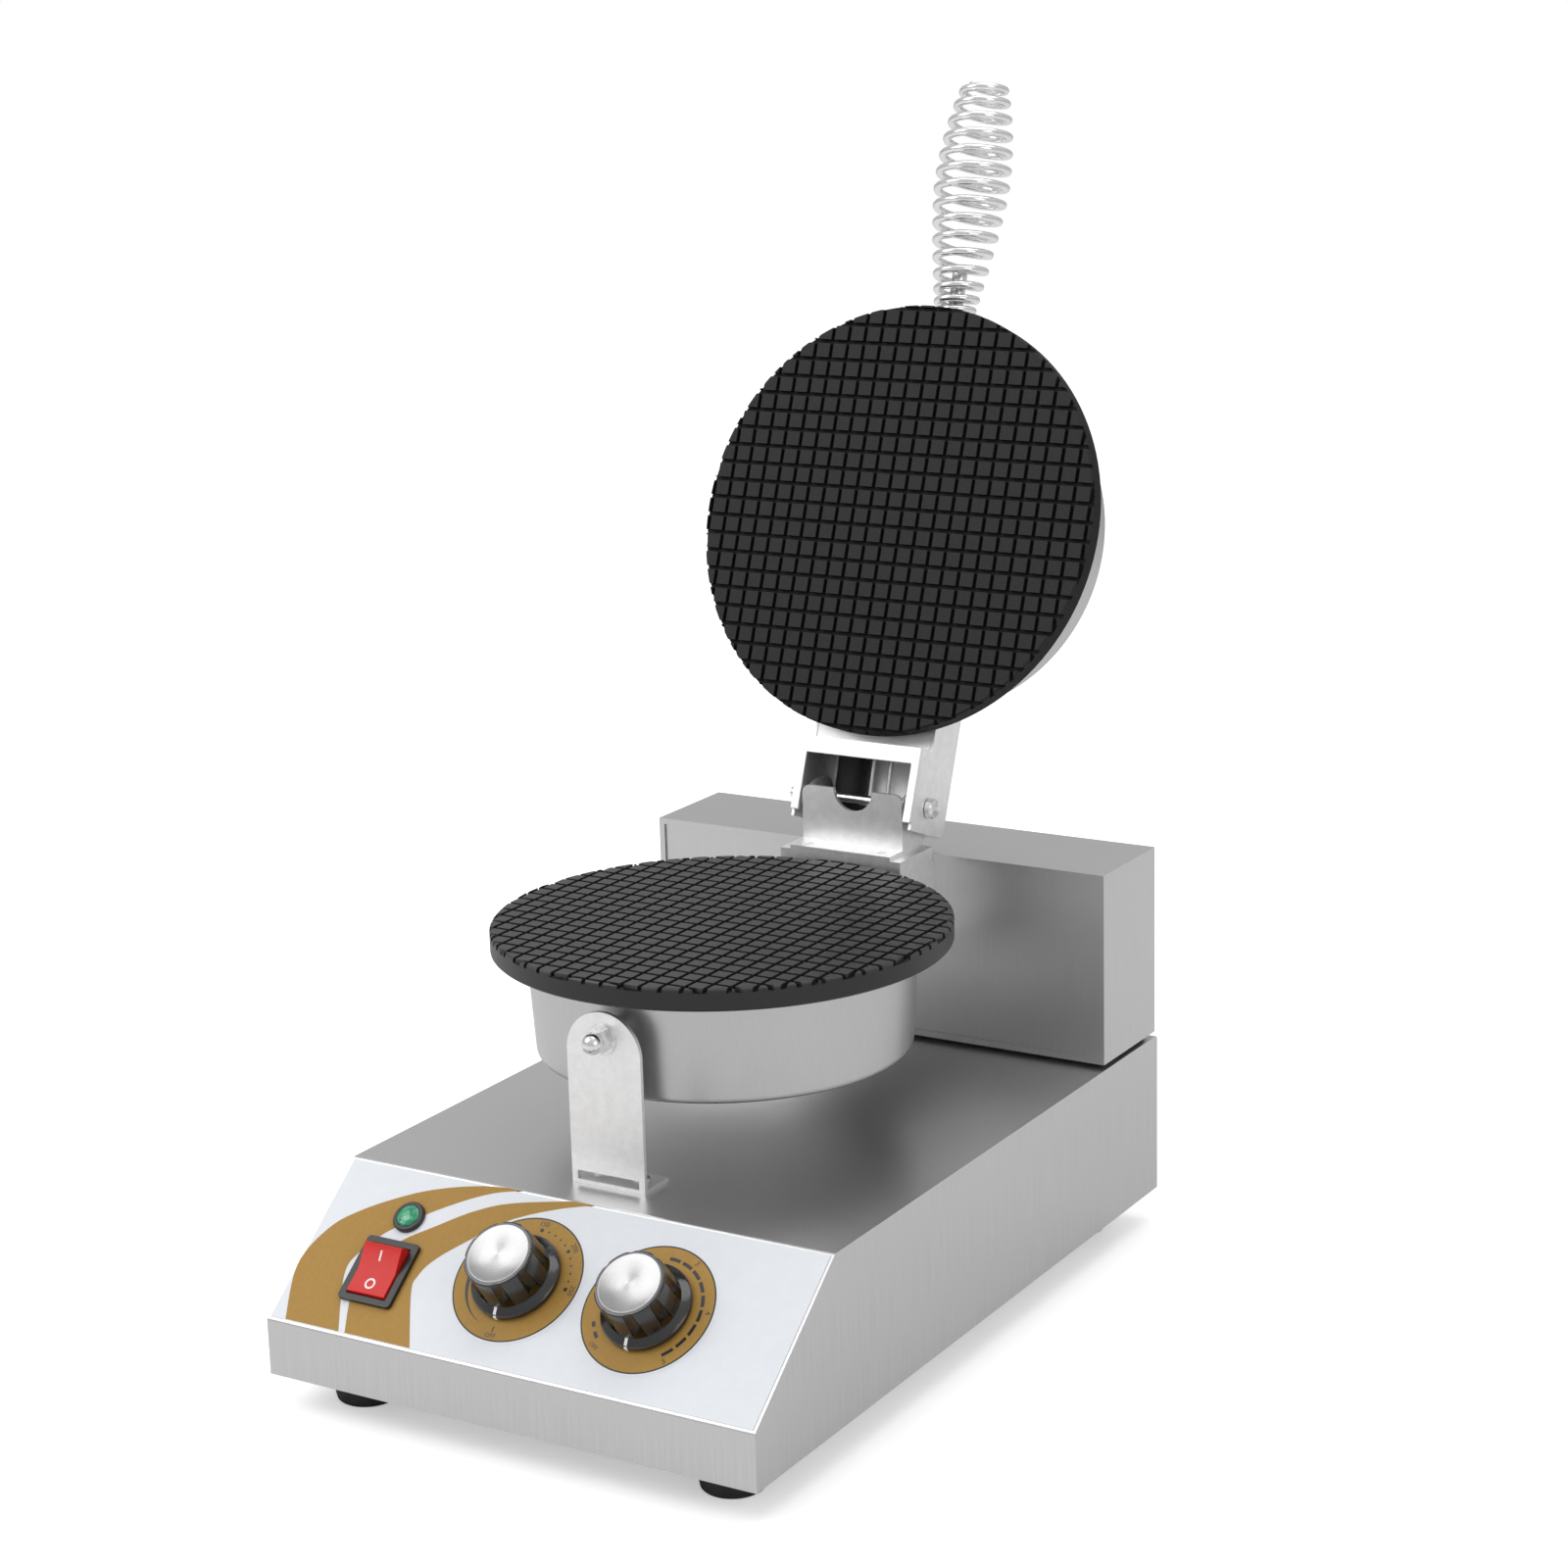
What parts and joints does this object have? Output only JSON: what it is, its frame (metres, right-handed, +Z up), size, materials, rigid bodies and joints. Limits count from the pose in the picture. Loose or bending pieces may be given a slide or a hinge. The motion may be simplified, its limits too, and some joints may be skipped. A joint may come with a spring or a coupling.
{
  "type": "electric krumkake iron",
  "caption": "Countertop electric wafer iron: sheet steel base with knobs, rear box, and two round grid plates on pans with a hinged lid and a spring handle.",
  "frame": {"origin": "on the table under the centre of the base's footprint", "axes": "+X to the right seen from the front, +Y to the back with the hinge, +Z up; the lid stands open at rest"},
  "size_m": [0.25, 0.4601, 0.5485],
  "materials": {
    "brushed_steel": "brushed",
    "satin_steel": "satin",
    "pan_steel": "satin",
    "bright_fasteners": "bright",
    "spring_chrome": "polished",
    "cast_plate_black": "matt",
    "rubber_black": "matt",
    "heater_steel": "matt",
    "insulation_board": "matt",
    "label_film": "satin",
    "switch_black": "satin",
    "rocker_red": "gloss",
    "lamp_green": "gloss",
    "knob_black": "gloss",
    "spun_aluminium": "spun",
    "switch_body": "matt",
    "copper_tube": "bright"
  },
  "bodies": {
    "root": {"base_shell": "brushed_steel", "bottom_cover": "satin_steel", "bottom_cover_screws": "bright_fasteners", "rubber_feet": "rubber_black", "foot_screws": "bright_fasteners", "rear_housing": "satin_steel", "housing_seal": "rubber_black", "rear_cover": "satin_steel", "rear_cover_screws": "bright_fasteners", "hinge_arm": "satin_steel", "arm_screws": "bright_fasteners", "lower_hinge_bracket": "satin_steel", "lower_bracket_screws": "bright_fasteners", "hinge_pin": "bright_fasteners", "hinge_nut": "bright_fasteners", "hinge_washers": "bright_fasteners", "front_bracket": "satin_steel", "front_bracket_screws": "bright_fasteners", "pan_bolt": "bright_fasteners", "pan_bolt_nut": "bright_fasteners", "pan_bolt_washer": "bright_fasteners", "pan_spacer": "bright_fasteners", "lower_pan": "pan_steel", "lower_plate": "cast_plate_black", "lower_heating_element": "heater_steel", "lower_insulation": "insulation_board", "lower_plate_screws": "bright_fasteners", "control_label": "label_film", "switch_housing": "switch_black", "lamp_bezel": "switch_black", "lamp_lens": "lamp_green", "thermostat_body": "switch_body", "thermostat_nut": "bright_fasteners", "timer_body": "switch_body", "timer_nut": "bright_fasteners", "terminal_block": "switch_body", "cable_gland": "rubber_black", "lid_cable_sleeve": "rubber_black", "lid_sensor_tube": "copper_tube", "lid_earth_wire": "bright_fasteners"},
    "lid": {"upper_pan": "pan_steel", "upper_plate": "cast_plate_black", "upper_heating_element": "heater_steel", "upper_insulation": "insulation_board", "upper_plate_screws": "bright_fasteners", "upper_hinge_bracket": "satin_steel", "hinge_frame_plate": "satin_steel", "upper_bracket_screws": "bright_fasteners", "handle_spring": "spring_chrome", "handle_stud": "bright_fasteners", "handle_nut": "bright_fasteners"},
    "power_rocker": {"switch_rocker": "rocker_red"},
    "temperature_dial": {"temperature_knob": "knob_black", "temperature_knob_cap": "spun_aluminium", "thermostat_shaft": "bright_fasteners"},
    "timer_dial": {"timer_knob": "knob_black", "timer_knob_cap": "spun_aluminium", "timer_shaft": "bright_fasteners"}
  },
  "joints": [
    {"name": "lid_hinge", "type": "hinge", "parent": "root", "child": "lid", "pos_m": [0, 0.1294, 0.2138], "axis": [1, 0, 0], "range_deg": [0, 111], "deforming": ["lid_cable_sleeve", "lid_sensor_tube", "lid_earth_wire"]},
    {"name": "power_switch", "type": "hinge", "parent": "root", "child": "power_rocker", "pos_m": [-0.0806, -0.16493, 0.06237], "axis": [1, 0, 0], "range_deg": [-22, 0]},
    {"name": "temperature_turn", "type": "hinge", "parent": "root", "child": "temperature_dial", "pos_m": [-0.0132, -0.15606, 0.06905], "axis": [0, -0.6233, 0.782], "range_deg": [-270, 0]},
    {"name": "timer_turn", "type": "hinge", "parent": "root", "child": "timer_dial", "pos_m": [0.0535, -0.15653, 0.06868], "axis": [0, -0.6233, 0.782], "range_deg": [-300, 0]}
  ]
}
